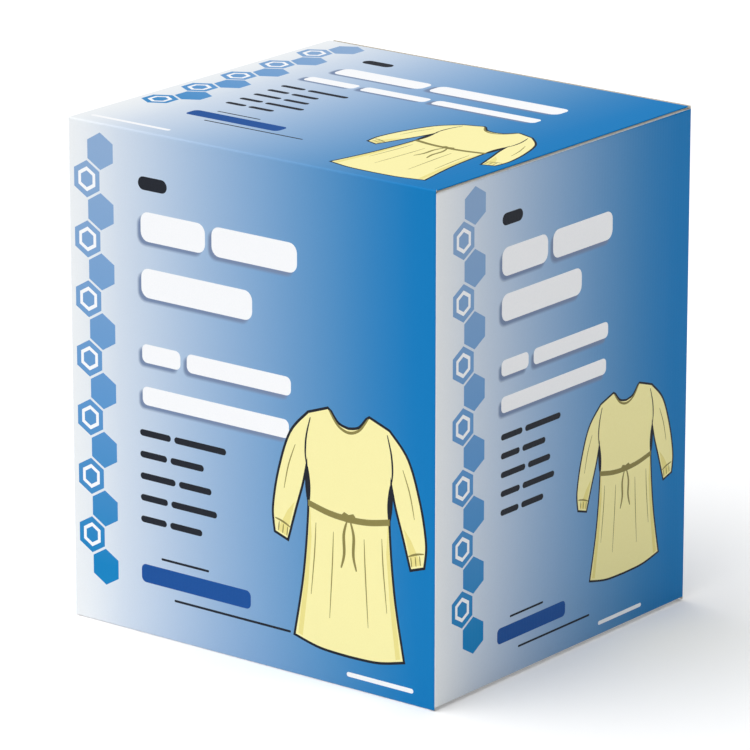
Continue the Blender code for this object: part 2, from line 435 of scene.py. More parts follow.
@cache
def read_panel(node):
    """A panel's outlines in its own sheet's coordinates: x to the right, y up, z out of the print.

    edges says what each edge of the outline is, from its own corner to the next: "fixed" is a crease that
    never moves, "moving" is one by a joint, "crushed" is cut along the flutes and "open" across them.
    """
    right, out = (Vector(v) for v in PANELS[node])
    shape = merged_copy(node)
    front = largest_face(shape, out)
    behind = largest_face(shape, -out)
    normal = front.normal.copy()
    up = normal.cross(right)
    corners = [Vector((x, y, z)) for x in (LOW.x, HIGH.x) for y in (LOW.y, HIGH.y) for z in (LOW.z, HIGH.z)]
    origin = (right * min(c.dot(right) for c in corners) + up * min(c.dot(up) for c in corners)
              + normal * front.verts[0].co.dot(normal))
    place = Matrix.Translation(origin) @ Matrix((right, up, normal)).transposed().to_4x4()
    to_sheet = place.inverted()
    flute = Vector((1, 0)) if node in ACROSS else Vector((0, 1))

    def outline(face, outward):
        """Corners of a face in order, and what each of its edges is."""
        points = [(to_sheet @ loop.vert.co).xy for loop in face.loops]
        runs = [(after - here).normalized() for here, after in zip(points, points[1:] + points[:1])]
        kinds = []
        for i, (loop, run) in enumerate(zip(face.loops, runs)):
            side = next(f for f in loop.edge.link_faces if f is not face)
            neighbours = runs[i - 1], runs[(i + 1) % len(runs)]
            if side.normal.dot(outward) > SLOPE:
                middle = (loop.edge.verts[0].co + loop.edge.verts[1].co) / 2
                moves = any(by_joint(middle, joint) for joint in frame["joints"])
                kinds.append("moving" if moves else "fixed")
            else:
                square = all(abs(run.cross(beside)) > SQUARE_CORNER for beside in neighbours)
                kinds.append("crushed" if square and abs(run.dot(flute)) > PARALLEL else "open")
        return points, kinds

    face, edges = outline(front, normal)
    back, back_edges = outline(behind, -normal)
    back.reverse()
    back_edges = back_edges[-2::-1] + back_edges[-1:]
    shape.free()
    return Panel(node, place, face, edges, back, back_edges)


def panel_size(node):
    """The width and height that a panel's artwork is laid out on."""
    if node in ("wall_front", "wall_back"):
        return WIDTH, HEIGHT
    if node in ("wall_left", "wall_right"):
        return DEPTH, HEIGHT
    return WIDTH, DEPTH


def push_edges(points, reach):
    """An outline whose edges each move out by their own reach, with its corners where they then cross."""
    moved = []
    for i, corner in enumerate(points):
        before = (corner - points[i - 1]).normalized()
        after = (points[(i + 1) % len(points)] - corner).normalized()
        out_before = Vector((before.y, -before.x)) * reach[i - 1]
        out_after = Vector((after.y, -after.x)) * reach[i]
        turn = before.cross(after)
        if abs(turn) < 1e-4:    # the corner lies on a straight run
            moved.append(corner + (out_before + out_after) / 2)
        else:
            along = (out_after - out_before).cross(after) / turn
            moved.append(corner + out_before + before * along)
    return moved


def crushed_by(reach, kinds):
    """A reach for push_edges: one value at the crushed edges, none at the others."""
    return [reach if kind == "crushed" else 0.0 for kind in kinds]


def crease_inset():
    """How far a flat printed face stops short of the carton's own corner, which is the crease's radius."""
    return min(p.x for p in read_panel("wall_front").face)


# ---------------------------------------------------------------- the artwork

def bar_shape(bar, roundness=0.5, steps=5):
    """A round-ended bar of ink."""
    radius = (bar.top - bar.bottom) * roundness
    left, right = bar.left + radius, bar.right - radius
    low, high = bar.bottom + radius, bar.top - radius
    points = []
    for x, y, start in ((right, low, -90), (right, high, 0), (left, high, 90), (left, low, 180)):
        for i in range(steps + 1):
            turn = math.radians(start + 90 * i / steps)
            point = Vector((x + radius * math.cos(turn), y + radius * math.sin(turn)))
            if not points or (point - points[-1]).length > 10 * MERGE:
                points.append(point)
    if (points[0] - points[-1]).length < 10 * MERGE:
        points.pop()
    return points


def hexagon(x, y, width):
    """A six-sided tile that stands on a point, from its middle and its width over two flat sides."""
    radius = width / 2 / math.cos(math.radians(30))
    turns = [math.radians(60 * i + 30) for i in range(6)]
    return [Vector((x + radius * math.cos(t), y + radius * math.sin(t))) for t in turns]


def smooth_run(points, steps=7):
    """A smooth line through the points given, ends included."""
    run = []
    for i in range(len(points) - 1):
        a, b = Vector(points[max(i - 1, 0)]), Vector(points[i])
        c, d = Vector(points[i + 1]), Vector(points[min(i + 2, len(points) - 1)])
        for k in range(steps):
            t = k / steps
            run.append(0.5 * ((2 * b) + (c - a) * t + (2 * a - 5 * b + 4 * c - d) * t * t
                              + (3 * b - a - 3 * c + d) * t ** 3))
    return run + [Vector(points[-1])]


def stroke(points, width):
    """A drawn line of ink: a band round a run of points, thinner at both ends."""
    left, right = [], []
    last = len(points) - 1
    for i, point in enumerate(points):
        along = (points[min(i + 1, last)] - points[max(i - 1, 0)]).normalized()
        half = width / 2 * (0.45 + 0.55 * math.sin(math.pi * i / last))
        side = Vector((-along.y, along.x)) * half
        left.append(point + side)
        right.append(point - side)
    return right + left[::-1]


def anticlockwise(points):
    """The points in the order that puts the shape's inside on the left."""
    area = sum(a.cross(b) for a, b in zip(points, points[1:] + points[:1]))
    return points if area > 0 else points[::-1]


def garment_shapes(spot):
    """A gown laid flat, drawn as a technical flat: both sleeves out, neck binding, waist ties and folds.

    Everything is drawn once for the right half in shares of the height and width, and mirrored.
    """
    line = LINE * spot.height

    def at(x, y):
        return Vector((spot.x + x * spot.width, spot.bottom + y * spot.height))

    neck = smooth_run([(0.0, 0.935), (0.065, 0.948), (0.115, 0.99)])
    shoulder = [Vector((0.135, 1.0))]
    sleeve = smooth_run([(0.265, 0.965), (0.385, 0.865), (0.462, 0.70), (0.499, 0.55), (0.495, 0.475)])
    cuff = [Vector(p) for p in ((0.488, 0.442), (0.400, 0.420))]
    under = smooth_run([(0.385, 0.458), (0.345, 0.56), (0.303, 0.66), (0.276, 0.745)])
    side = smooth_run([(0.276, 0.745), (0.265, 0.58), (0.297, 0.30), (0.360, 0.035)])
    hem = smooth_run([(0.360, 0.035), (0.19, 0.006), (0.0, 0.0)])
    half = neck + shoulder + sleeve + cuff + under + side[1:] + hem[1:]
    outline = anticlockwise([at(p.x, p.y) for p in half] + [at(-p.x, p.y) for p in reversed(half[1:-1])])
    shapes = [("black", push_edges(outline, [line / 2] * len(outline))),
              ("yellow", push_edges(outline, [-line / 2] * len(outline)))]

    def patch_pair(ink, points):
        """A patch on the right half, then the same on the left half."""
        for hand in (1, -1):
            shapes.append((ink, anticlockwise([at(hand * x, y) for x, y in points])))

    def line_pair(ink, points, width):
        """A drawn line on the right half, then the same on the left half."""
        for hand in (1, -1):
            run = [at(hand * p.x, p.y) for p in smooth_run(points, 6)]
            shapes.append((ink, anticlockwise(stroke(run, width * line))))

    patch_pair("straw", [(0.355, 0.585), (0.405, 0.54), (0.470, 0.452), (0.408, 0.436), (0.385, 0.50)])
    patch_pair("straw", [(0.256, 0.62), (0.260, 0.50), (0.288, 0.30), (0.335, 0.045), (0.305, 0.038),
                         (0.268, 0.25), (0.244, 0.46)])
    line_pair("black", [(0.276, 0.745), (0.284, 0.80), (0.276, 0.87), (0.250, 0.945)], 0.8)
    line_pair("black", [(0.276, 0.745), (0.268, 0.67), (0.264, 0.60)], 2.4)
    line_pair("olive", [(0.384, 0.474), (0.432, 0.490), (0.486, 0.500)], 0.8)
    for start in (0.408, 0.436, 0.464):
        drop = (start - 0.408) * 0.25
        line_pair("olive", [(start, 0.435 + drop), (start - 0.006, 0.474 + drop)], 0.5)
    line_pair("olive", [(0.215, 0.52), (0.224, 0.40), (0.248, 0.22)], 0.5)
    line_pair("olive", [(0.100, 0.50), (0.108, 0.36), (0.126, 0.14)], 0.5)
    line_pair("olive", [(0.350, 0.82), (0.395, 0.73), (0.425, 0.63)], 0.5)
    belt = smooth_run([(-0.266, 0.594), (-0.13, 0.572), (0.0, 0.566), (0.13, 0.572), (0.266, 0.594)])
    band = [at(p.x, p.y + BELT) for p in belt] + [at(p.x, p.y - BELT) for p in reversed(belt)]
    shapes.append(("olive", anticlockwise(band)))
    patch_pair("olive", [(0.0, 0.584), (0.03, 0.592), (0.052, 0.574), (0.03, 0.553), (0.0, 0.552)])
    line_pair("olive", [(0.01, 0.56), (0.032, 0.50), (0.030, 0.42), (0.050, 0.36)], 1.3)
    binding = smooth_run([(-0.126, 0.990), (-0.070, 0.938), (0.0, 0.918), (0.070, 0.938), (0.126, 0.990)])
    shapes.append(("olive", anticlockwise(stroke([at(p.x, p.y) for p in binding], line * 1.1))))
    return shapes


def band_shapes(band):
    """A honeycomb band down the left edge: two staggered rows of tiles, every other one hollow."""
    shapes = []
    pitch = band.tile * math.cos(math.radians(30))
    for i in range(band.rows):
        x = band.x + band.tile / 4 * (-1 if i % 2 else 1)
        y = band.top - pitch * i
        shapes.append(("tile", hexagon(x, y, band.tile * TILE)))
        if i % 2:
            shapes.append(("knockout", hexagon(x, y, band.tile * HOLLOW)))
            shapes.append(("tile", hexagon(x, y, band.tile * HEART)))
    return shapes


def layout_shapes(layout):
    """Every inked shape of one face, in the order that they are printed."""
    shapes = band_shapes(layout.band)
    shapes += [("knockout", bar_shape(bar, BAR_ROUND)) for bar in layout.white_bars]
    shapes += [("black", bar_shape(bar)) for bar in layout.dark_bars]
    shapes.append(("navy", bar_shape(layout.navy_bar, NAVY_ROUND)))
    shapes.append(("knockout", bar_shape(layout.foot_bar)))
    return shapes + garment_shapes(layout.garment)


def bars(*rows):
    """Bars of ink from rows of (left, right, bottom, top) in millimetres."""
    return [Bar(*(value * MM for value in row)) for row in rows]


def dark_rows(left, ends, first, pitch, height):
    """A block of thin bars, one for each end given, going down; each has one gap, not always in one place."""
    rows = []
    for i, end in enumerate(ends):
        low = first - pitch * i
        gap = left + (end - left) * (0.38 + 0.07 * (i % 3))
        rows += [(left, gap - DARK_GAP, low, low + height), (gap + DARK_GAP, end, low, low + height)]
    return bars(*rows)


def band_of(x, top, rows, tile):
    """A tile band from sizes in millimetres."""
    return Band(x * MM, top * MM, rows, tile * MM)


def garment_at(x, bottom, width, height):
    """The drawn gown's place from sizes in millimetres."""
    return Garment(x * MM, bottom * MM, width * MM, height * MM)


def front_layout():
    """The wide walls' artwork."""
    white = bars((68, 128, 299, 321), (134, 212, 299, 321), (68, 171, 257, 279), (68, 104, 208, 222),
                 (110, 206, 208, 222), (68, 204, 176, 190))
    dark = bars((66, 93, 337, 347), (84, 129, 60, 61.8), (96, 205, 30.5, 32.3))
    dark += dark_rows(65, (146, 125, 132, 137, 123), 152, 16.5, 5)
    navy, foot = bars((65, 168, 40, 54), (256, 316, 9, 12.5))
    return Layout(band_of(24, 359, 15, 26), white, dark, navy, foot, garment_at(258, 24, 138, 182))


def side_layout():
    """The narrow walls' artwork, set a little tighter than the wide walls'."""
    white = bars((76, 130, 301, 322), (136, 208, 301, 322), (76, 171, 268, 288), (76, 108, 228, 240),
                 (114, 204, 228, 240), (76, 202, 201, 213))
    dark = bars((76, 100, 338, 347), (88, 128, 46, 47.6), (98, 185, 20.5, 22.1))
    dark += dark_rows(76, (147, 129, 135, 140, 127), 181, 14, 4.6)
    navy, foot = bars((73, 155, 29, 41), (196, 250, 10, 13))
    return Layout(band_of(38, 360, 15, 26), white, dark, navy, foot, garment_at(228, 42, 120, 142))


def lid_layout():
    """The lid's artwork, which reads from the front."""
    white = bars((68, 150, 220, 239), (157, 275, 220, 239), (63, 110, 191, 203), (116, 176, 191, 203),
                 (182, 276, 191, 203))
    dark = bars((64, 91, 259, 269), (75, 115, 78, 79.8), (84, 175, 52, 53.8))
    dark += dark_rows(63, (125, 110, 114, 122, 107), 165, 16, 5)
    navy, foot = bars((60, 146, 59, 73), (10, 84, 13, 17))
    return Layout(band_of(25, 284, 10, 26), white, dark, navy, foot, garment_at(270, 12, 116, 150))


def shadow_at(point, white_bars):
    """How deep the printed drop shadow is at a point of the sheet, from 0 to 1."""
    shift = Vector((-SHADOW_SHIFT, -SHADOW_SHIFT))
    deepest = 0.0
    for bar in white_bars:
        middle = Vector(((bar.left + bar.right) / 2, (bar.bottom + bar.top) / 2)) + shift
        radius = (bar.top - bar.bottom) * BAR_ROUND
        reach = Vector(((bar.right - bar.left) / 2 - radius, (bar.top - bar.bottom) / 2 - radius))
        away = point - middle
        outside = Vector((max(abs(away.x) - reach.x, 0.0), max(abs(away.y) - reach.y, 0.0))).length - radius
        deepest = max(deepest, min(max(0.5 - outside / SHADOW_SOFT, 0.0), 1.0))
    return deepest


def shadow_outlines(white_bars):
    """Outlines just outside and inside each shadow's edge, so that the sheet has corners where it fades."""
    shapes = []
    for bar in white_bars:
        for grow in (SHADOW_SOFT / 2, 0.0, -SHADOW_SOFT / 2):
            low, high = SHADOW_SHIFT + grow, SHADOW_SHIFT - grow
            moved = Bar(bar.left - low, bar.right - high, bar.bottom - low, bar.top - high)
            shapes.append(("blend", bar_shape(moved, SHADOW_ROUND)))
    return shapes


# ---------------------------------------------------------------- board pieces

def settle(piece):
    """Turns a piece with modifiers into the plain mesh that they make."""
    graph = bpy.context.evaluated_depsgraph_get()
    made = bpy.data.meshes.new_from_object(piece.evaluated_get(graph))
    piece.modifiers.clear()
    piece.data = made


def soften(piece):
    """Smooth shading round the creases, with every cut edge kept sharp."""
    piece.data.shade_smooth()
    piece.data.set_sharp_from_angle(angle=math.radians(SHARP))


def piece_from(name, shape, materials):
    """A linked object from a bmesh, which is freed."""
    mesh = bpy.data.meshes.new(name)
    shape.to_mesh(mesh)
    shape.free()
    piece = bpy.data.objects.new(name, mesh)
    bpy.context.scene.collection.objects.link(piece)
    for material in materials:
        mesh.materials.append(material)
    return piece


def join_pieces(name, parts):
    """Several finished pieces as one mesh object, each still a closed body of its own."""
    shape = bmesh.new()
    materials = []
    for part in parts:
        first = len(shape.faces)
        shape.from_mesh(part.data)
        shape.faces.ensure_lookup_table()
        materials += [m for m in part.data.materials if m not in materials]
        places = [materials.index(m) for m in part.data.materials]
        for face in shape.faces[first:]:
            face.material_index = places[face.material_index]
        bpy.data.objects.remove(part)
    return piece_from(name, shape, materials)


def add_maps(piece):
    """Gives a printed piece its two UV maps and its shadow attribute, all still empty."""
    for name in ("sheet", "board"):
        piece.data.uv_layers.new(name=name)
    piece.data.attributes.new("shadow", "FLOAT", "POINT")


def map_face(piece, face, to_sheet, size):
    """Lays one face on its panel: "sheet" runs from 0 to 1 over the artwork, and "board" is in metres."""
    mesh = piece.data
    for k in face.loop_indices:
        point = to_sheet @ mesh.vertices[mesh.loops[k].vertex_index].co
        mesh.uv_layers["sheet"].data[k].uv = (point.x / size[0], point.y / size[1])
        mesh.uv_layers["board"].data[k].uv = point.xy


def map_sheet(piece, panel, white_bars):
    """Maps a whole printed panel, with the depth of the shadow that is printed under its bars."""
    add_maps(piece)
    to_sheet = panel.place.inverted()
    mesh = piece.data
    for face in mesh.polygons:
        map_face(piece, face, to_sheet, panel_size(panel.node))
    shadow = mesh.attributes["shadow"]
    for i, corner in enumerate(mesh.vertices):
        shadow.data[i].value = shadow_at((to_sheet @ corner.co).xy, white_bars)


def outer_liner(name, panel, inks, shapes=(), white_bars=(), plain="blend"):
    """The printed sheet on one panel, cut along every ink's edge and carried half-way round fixed creases.

    Where the panel is cut along its flutes the sheet is rolled down over the edge, as a cutting rule does.
    The last ink given is the bare paper of the sheet's cut edges and of its back.
    """
    flat = push_edges(panel.face, crushed_by(-CRUSH, panel.edges))
    points = list(flat)
    faces = [list(range(len(points)))]
    layers = [plain]
    for ink, outline in [*shadow_outlines(white_bars), *shapes]:
        faces.append(list(range(len(points), len(points) + len(outline))))
        points += outline
        layers.append(ink)
    cut, _, tiles, _, _, origins = delaunay_2d_cdt(points, [], faces, 1, MERGE / 10)
    names = list(inks)
    shape = bmesh.new()
    spots = [shape.verts.new((p.x, p.y, 0.0)) for p in cut]
    for tile, origin in zip(tiles, origins):
        face = shape.faces.new([spots[i] for i in tile])
        face.material_index = names.index(layers[max(origin)])
    roll_edge(shape, panel, flat, "fixed", crease_inset(), HALF_CREASE, names.index(plain))
    roll_edge(shape, panel, flat, "crushed", CRUSH, ROLL, names.index(plain))
    bmesh.ops.delete(shape, geom=[v for v in shape.verts if not v.link_faces], context="VERTS")
    bmesh.ops.remove_doubles(shape, verts=shape.verts, dist=MERGE)
    shape.transform(panel.place)
    piece = piece_from(name, shape, inks.values())
    shell = piece.modifiers.new("liner", "SOLIDIFY")
    shell.thickness = bpy.context.scene.carton_board.liner
    shell.offset = -1.0
    shell.use_even_offset = True
    shell.material_offset = len(inks)
    shell.material_offset_rim = len(inks)
    settle(piece)
    soften(piece)
    return piece


def roll_edge(shape, panel, flat, kind, radius, sweep, ink):
    """Carries a flat sheet round an arc at each of its edges of one kind.

    A moving crease has a strip of its own and gets no face here, but it grows as a fixed one does, so that
    its neighbours' arcs end beside that strip.
    """
    grown = (kind, "moving") if kind == "fixed" else (kind,)
    row = [shape.verts.new((p.x, p.y, 0.0)) for p in flat]
    for step in range(1, ARC_STEPS + 1):
        turn = math.radians(sweep) * step / ARC_STEPS
        reach = [radius * math.sin(turn) if edge in grown else 0.0 for edge in panel.edges]
        drop = -radius * (1 - math.cos(turn))
        after = [shape.verts.new((p.x, p.y, drop)) for p in push_edges(flat, reach)]
        for i, edge in enumerate(panel.edges):
            if edge == kind:
                j = (i + 1) % len(flat)
                face = shape.faces.new([row[j], row[i], after[i], after[j]])
                face.material_index = ink
        row = after


def inner_liner(name, panel, material):
    """The plain sheet on the inside of one panel, meeting its neighbour's at each fixed crease."""
    reach = {"fixed": CREASE_GAP, "moving": 0.0, "crushed": -CRUSH, "open": 0.0}
    outline = push_edges(panel.back, [reach[kind] for kind in panel.back_edges])
    edge = push_edges(outline, crushed_by(CRUSH, panel.back_edges))
    shape = bmesh.new()
    levels = (-BOARD, -BOARD + bpy.context.scene.carton_board.liner)
    low, high = ([shape.verts.new((p.x, p.y, level)) for p in outline] for level in levels)
    shape.faces.new(low[::-1])
    shape.faces.new(high)
    for i, kind in enumerate(panel.back_edges):
        j = (i + 1) % len(outline)
        if kind == "crushed":
            (a, b), (c, d) = ([shape.verts.new((edge[k].x, edge[k].y, level + INNER_LIFT)) for k in (i, j)]
                              for level in levels)
            for corners in ((low[i], low[j], b, a), (high[j], high[i], c, d), (a, b, d, c),
                            (low[i], a, c, high[i]), (b, low[j], high[j], d)):
                shape.faces.new(corners)
        else:
            shape.faces.new([low[i], low[j], high[j], high[i]])
    bmesh.ops.recalc_face_normals(shape, faces=shape.faces)
    shape.transform(panel.place)
    return piece_from(name, shape, [material])


def flute_tree():
    """Geometry Nodes that fill a closed outline with one waved sheet, its flutes running along Y.

    A grid as wide as the outline is thrown against a ribbon stood up on the outline, so that each flute
    ends where the panel does. The waves are a sine of the pitch and height given.
    """
    name = "Board Flutes"
    tree = bpy.data.node_groups.get(name)
    if tree:
        return tree
    tree = bpy.data.node_groups.new(name, "GeometryNodeTree")
    kinds = {"Outline": "Geometry", "Pitch": "Float", "Height": "Float", "Steps": "Int",
             "Material": "Material"}
    for label, kind in kinds.items():
        tree.interface.new_socket(label, in_out="INPUT", socket_type=f"NodeSocket{kind}")
    tree.interface.new_socket("Flutes", in_out="OUTPUT", socket_type="NodeSocketGeometry")
    given = add_node(tree, "NodeGroupInput").outputs
    number, vector = "ShaderNodeMath", "ShaderNodeVectorMath"
    split, merge = "ShaderNodeSeparateXYZ", "ShaderNodeCombineXYZ"
    tall = 2.0              # the ribbon's height and the rays' length, past any panel's size
    step_back = 0.01        # rays start this far behind their point, so that one on the outline hits it too
    inside = 0.9995         # share of the width that the grid fills, so that its last rays still hit

    # The ribbon and the span it covers.
    upwards = add_node(tree, merge, {"Z": 1.0})
    ribbon = add_node(tree, "GeometryNodeExtrudeMesh", {
        "Mesh": given["Outline"], "Offset": upwards, "Offset Scale": tall}, mode="EDGES")
    lowered = add_node(tree, "GeometryNodeTransform", {
        "Geometry": ribbon, "Translation": (0.0, 0.0, -tall / 2)})
    span = add_node(tree, "GeometryNodeBoundBox", {"Geometry": given["Outline"]})
    ends = {0: span.outputs["Max"], 1: span.outputs["Min"]}
    size = add_node(tree, split, {"Vector": add_node(tree, vector, ends, operation="SUBTRACT")})
    total = add_node(tree, vector, ends, operation="ADD")
    middle = add_node(tree, vector, {0: total, "Scale": 0.5}, operation="SCALE")

    # The grid: a few rows of points to each flute, and two rows along it.
    filled = add_node(tree, number, {0: size.outputs["X"], 1: inside}, operation="MULTIPLY")
    flutes = add_node(tree, number, {0: size.outputs["X"], 1: given["Pitch"]}, operation="DIVIDE")
    points = add_node(tree, number, {0: flutes, 1: given["Steps"]}, operation="MULTIPLY")
    grid = add_node(tree, "GeometryNodeMeshGrid", {
        "Size X": filled, "Size Y": size.outputs["Y"], "Vertices X": points, "Vertices Y": 2})
    centred = add_node(tree, "GeometryNodeTransform", {"Geometry": grid, "Translation": middle})

    # Each end of a flute looks for the place where the outline crosses it.
    place = add_node(tree, "GeometryNodeInputPosition")
    axes = add_node(tree, split, {"Vector": place})
    middle_axes = add_node(tree, split, {"Vector": middle})
    side = add_node(tree, number, {0: middle_axes.outputs["Y"], 1: axes.outputs["Y"]}, operation="SUBTRACT")
    facing = add_node(tree, number, {0: side}, operation="SIGN")
    direction = add_node(tree, merge, {"Y": facing})
    back_off = add_node(tree, vector, {0: direction, "Scale": -step_back}, operation="SCALE")
    start = add_node(tree, vector, {0: place, 1: back_off}, operation="ADD")
    cast = add_node(tree, "GeometryNodeRaycast", {
        "Target Geometry": lowered, "Source Position": start, "Ray Direction": direction, "Ray Length": tall})

    # It goes there, at the height of its wave.
    phase = add_node(tree, number, {0: axes.outputs["X"], 1: given["Pitch"]}, operation="DIVIDE")
    turn = add_node(tree, number, {0: phase, 1: math.tau}, operation="MULTIPLY")
    wave = add_node(tree, number, {0: turn}, operation="SINE")
    rise = add_node(tree, number, {0: wave, 1: given["Height"]}, operation="MULTIPLY")
    lift = add_node(tree, number, {0: rise, 1: 0.5}, operation="MULTIPLY")
    hit = add_node(tree, split, {"Vector": cast.outputs["Hit Position"]})
    spot = add_node(tree, merge, {"X": axes.outputs["X"], "Y": hit.outputs["Y"], "Z": lift})
    missed = add_node(tree, "FunctionNodeBooleanMath", {0: cast.outputs["Is Hit"]}, operation="NOT")
    keep = add_node(tree, "GeometryNodeDeleteGeometry", {"Geometry": centred, "Selection": missed})
    waved = add_node(tree, "GeometryNodeSetPosition", {"Geometry": keep, "Position": spot})
    real = add_node(tree, "GeometryNodeRealizeInstances", {"Geometry": waved})
    painted = add_node(tree, "GeometryNodeSetMaterial", {"Geometry": real, "Material": given["Material"]})
    add_node(tree, "NodeGroupOutput", {"Flutes": painted})
    return tree


def fluting(name, panel, material):
    """The waved sheet inside one panel, made by the flute tree on the panel's inner outline."""
    board = bpy.context.scene.carton_board
    turned = Matrix.Rotation(math.radians(90), 4, "Z") if panel.node in ACROSS else Matrix.Identity(4)
    shape = bmesh.new()
    held = push_edges(panel.back, crushed_by(-CRUSH, panel.back_edges))
    rim = [shape.verts.new(turned.inverted() @ Vector((p.x, p.y, 0.0))) for p in held]
    for i, spot in enumerate(rim):
        shape.edges.new((spot, rim[(i + 1) % len(rim)]))
    piece = piece_from(name, shape, [])
    tree = flute_tree()
    made = piece.modifiers.new("flutes", "NODES")
    made.node_group = tree
    sockets = {item.name: item.identifier for item in tree.interface.items_tree if item.in_out == "INPUT"}
    made[sockets["Pitch"]] = board.pitch
    made[sockets["Height"]] = BOARD - 2 * board.liner - board.medium
    made[sockets["Steps"]] = board.steps
    made[sockets["Material"]] = material
    wall = piece.modifiers.new("medium", "SOLIDIFY")
    wall.thickness = board.medium
    wall.offset = 0.0
    settle(piece)
    if not piece.data.polygons:
        raise RuntimeError(f"the flute tree made nothing for {name}")
    piece.data.materials.pop(index=0)   # the empty slot that Set Material leaves before its own
    middle = Matrix.Translation((0.0, 0.0, -BOARD / 2))
    piece.data.transform(panel.place @ middle @ turned)
    soften(piece)
    return piece


# ---------------------------------------------------------------- moving creases

def crease_edge(panel, joint):
    """The ends of a panel's flat printed face by a moving crease, and how far its liner goes past each."""
    count = len(panel.face)
    past = {"fixed": crease_inset(), "crushed": -CRUSH}
    for i in range(count):
        ends = [panel.place @ Vector((*panel.face[k % count], 0.0)) for k in (i, i + 1)]
        if panel.edges[i] == "moving" and by_joint((ends[0] + ends[1]) / 2, joint):
            return ends, [past.get(panel.edges[k], 0.0) for k in (i - 1, (i + 1) % count)]
    raise RuntimeError(f"{panel.node} has no crease at {joint['name']}")


def crease_section(panel_a, panel_b, joint):
    """Where a moving crease starts and ends: its two end lines, its directions and the arc between."""
    (start, past), (end, end_past) = crease_edge(panel_a, joint), crease_edge(panel_b, joint)
    normal_a, normal_b = (panel.place.to_3x3() @ Vector((0, 0, 1)) for panel in (panel_a, panel_b))
    if (start[1] - start[0]).dot(end[1] - end[0]) < 0:
        start, past = start[::-1], past[::-1]
    along = (end[1] - end[0]).normalized()
    leave = along.cross(normal_a)
    if leave.dot(end[0] - start[0]) < 0:
        leave = -leave
    angle = normal_a.angle(normal_b)
    chord = (end[0] - start[0]) - along * (end[0] - start[0]).dot(along)
    radius = chord.length / (2 * math.sin(angle / 2))
    return start, end, past, end_past, along, normal_a, normal_b, leave, angle, radius


def crease_liner(name, panel_a, panel_b, joint, inks):
    """The outer sheet across a moving crease, from one flat face to the next.

    inks are the finishes of its first half, its second half and its bare back and edges.
    """
    liner = bpy.context.scene.carton_board.liner
    section = crease_section(panel_a, panel_b, joint)
    start, end, past, end_past, along, normal, _, leave, angle, radius = section
    steps = 2 * ARC_STEPS
    rows, under = [], []
    shape = bmesh.new()
    for i in range(steps + 1):
        turn = angle * i / steps
        shift = leave * (radius * math.sin(turn)) - normal * (radius * (1 - math.cos(turn)))
        facing = normal * math.cos(turn) + leave * math.sin(turn)
        late = max(0.0, 2 * i / steps - 1)
        ends = []
        for k, side in ((0, -1), (1, 1)):
            grown = math.sin(min(turn, angle / 2)) if past[k] > 0 else 1.0
            place = start[k].dot(along) + side * past[k] * grown
            place += (end[k].dot(along) + side * min(end_past[k], 0.0) - place) * late
            ends.append(start[k] + along * (place - start[k].dot(along)) + shift)
        rows.append([shape.verts.new(p) for p in ends])
        under.append([shape.verts.new(p - facing * liner) for p in ends])
    for i in range(steps):
        a, b, c, d = rows[i], rows[i + 1], under[i], under[i + 1]
        shape.faces.new((a[0], a[1], b[1], b[0])).material_index = 0 if i < ARC_STEPS else 1
        for corners in ((c[1], c[0], d[0], d[1]), (a[0], b[0], d[0], c[0]), (b[1], a[1], c[1], d[1])):
            shape.faces.new(corners).material_index = 2
    for row, low in ((rows[0], under[0]), (rows[-1], under[-1])):
        shape.faces.new([row[1], row[0], low[0], low[1]]).material_index = 2
    bmesh.ops.recalc_face_normals(shape, faces=shape.faces)
    piece = piece_from(name, shape, inks)
    soften(piece)
    add_maps(piece)
    for face in piece.data.polygons:
        panel = panel_b if face.material_index else panel_a
        map_face(piece, face, panel.place.inverted(), panel_size(panel.node))
    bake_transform(piece)
    return piece


def crease_core(name, panel_a, panel_b, joint, material):
    """The crushed board inside a moving crease: a thin blade, as it lies with the crease shut.

    It lies between the two mitred ends of the board. Its slices are spaced by the inverse of a
    smooth step.
    """
    section = crease_section(panel_a, panel_b, joint)
    start, end, _, _, along, normal_a, normal_b, leave, angle, radius = section
    inward = -(normal_a + normal_b).normalized()
    across = (normal_b - normal_a).normalized()
    corner = start[0] + leave * (radius * math.tan(angle / 2))
    corners = [corner + along * (end[k] - corner).dot(along) for k in (0, 1)]
    near = radius * (1 / math.cos(angle / 2) - 1) + bpy.context.scene.carton_board.liner
    far = BOARD / math.cos(angle / 2)
    half_gap = CREASE_GAP * math.sin(math.radians(HALF_CREASE))
    shape = bmesh.new()
    slices = []
    for i in range(CORE_STEPS + 1):
        share = 0.5 - math.sin(math.asin(1 - 2 * i / CORE_STEPS) / 3)
        shift = across * (half_gap * (2 * share - 1))
        slices.append([[shape.verts.new(c + inward * reach + shift) for c in corners]
                       for reach in (near, far)])
    for (a0, a1), (b0, b1) in zip(slices, slices[1:]):
        shape.faces.new([a0[0], a0[1], b0[1], b0[0]])
        shape.faces.new([a1[1], a1[0], b1[0], b1[1]])
        shape.faces.new([a0[0], b0[0], b1[0], a1[0]])
        shape.faces.new([b0[1], a0[1], a1[1], b1[1]])
    for near_row, far_row in (slices[0], slices[-1]):
        shape.faces.new([near_row[1], near_row[0], far_row[0], far_row[1]])
    bmesh.ops.recalc_face_normals(shape, faces=shape.faces)
    piece = piece_from(name, shape, [material])
    soften(piece)
    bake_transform(piece)
    return piece


# ---------------------------------------------------------------- panels on their bodies

def finish_piece(piece, body, slot, *nodes):
    """Puts a finished piece on its body, in place of the nodes it stands for; slot is not used."""
    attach(piece, body)
    if nodes:
        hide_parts(*nodes)


